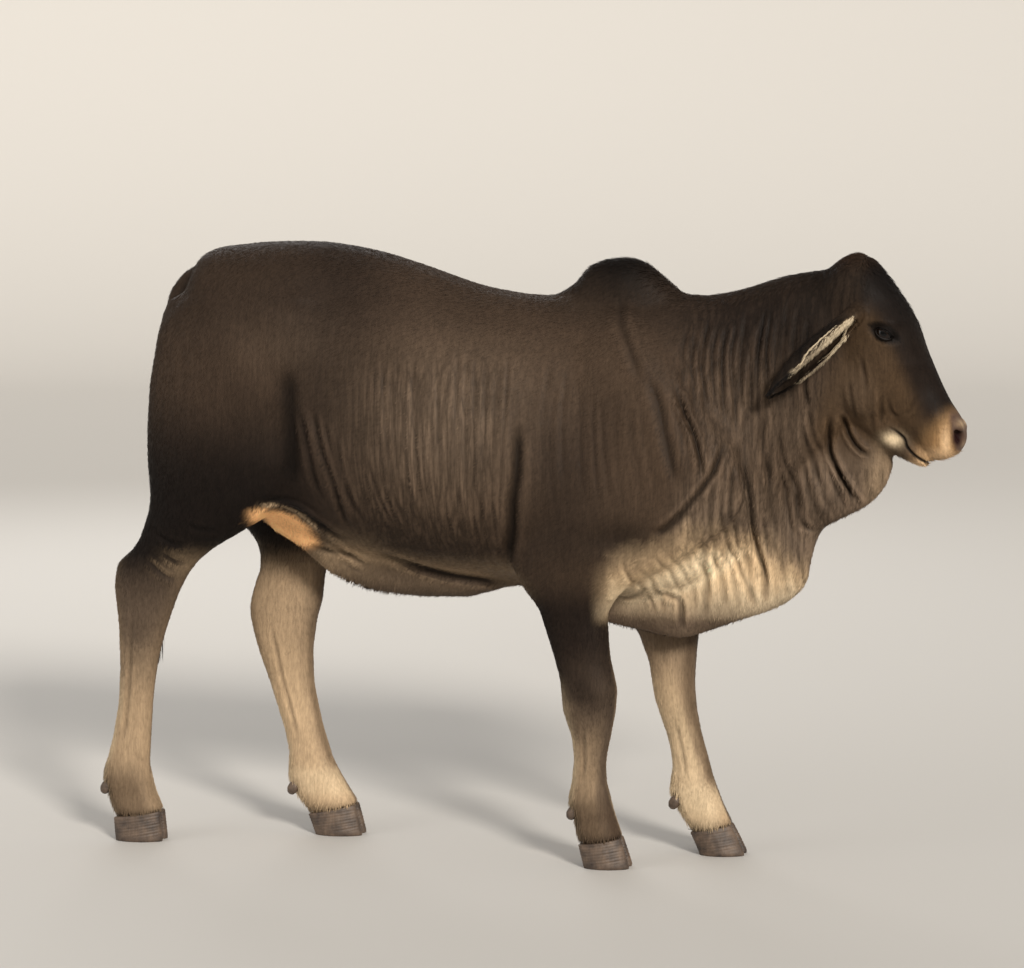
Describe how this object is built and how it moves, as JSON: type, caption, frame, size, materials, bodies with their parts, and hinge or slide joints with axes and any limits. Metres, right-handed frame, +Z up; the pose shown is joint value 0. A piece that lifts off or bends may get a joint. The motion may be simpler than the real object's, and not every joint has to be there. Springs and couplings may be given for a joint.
{
  "type": "brahman cattle",
  "caption": "Life-size still model of a young humped brahman standing, with hump, hanging dewlap, drooping ears, cloven hooves and a tufted tail.",
  "frame": {"origin": "on the floor, under the middle of the animal's box", "axes": "+X the way the animal faces, +Y its left side, +Z up"},
  "size_m": [1.7235, 0.4201, 1.2074],
  "materials": {
    "hide": "short flat dark brown-grey coat",
    "pale_hide": "loose pale grey-brown folds",
    "ear_hide": "dark outside with cream hair at the rim",
    "horn": "dull dark hoof horn",
    "eye": "wet and dark",
    "switch_hair": "long black tail hair"
  },
  "bodies": {
    "root": {"hindquarters": "hide", "barrel": "hide", "neck": "hide", "hump": "hide", "dewlap": "pale_hide", "head": "hide", "ear_right": "ear_hide", "ear_left": "ear_hide", "eye_right": "eye", "eye_left": "eye", "foreleg_right_upper": "hide", "foreleg_right_lower": "hide", "foreleg_left_upper": "hide", "foreleg_left_lower": "hide", "hindleg_right_upper": "hide", "hindleg_right_lower": "hide", "hindleg_left_upper": "hide", "hindleg_left_lower": "hide", "claw_foreleg_right_outer": "horn", "claw_foreleg_right_inner": "horn", "claw_foreleg_left_outer": "horn", "claw_foreleg_left_inner": "horn", "claw_hindleg_right_outer": "horn", "claw_hindleg_right_inner": "horn", "claw_hindleg_left_outer": "horn", "claw_hindleg_left_inner": "horn", "dewclaw_foreleg_right_outer": "horn", "dewclaw_foreleg_right_inner": "horn", "dewclaw_foreleg_left_outer": "horn", "dewclaw_foreleg_left_inner": "horn", "dewclaw_hindleg_right_outer": "horn", "dewclaw_hindleg_right_inner": "horn", "dewclaw_hindleg_left_outer": "horn", "dewclaw_hindleg_left_inner": "horn", "tail": "hide", "tail_switch": "switch_hair"}
  },
  "joints": []
}
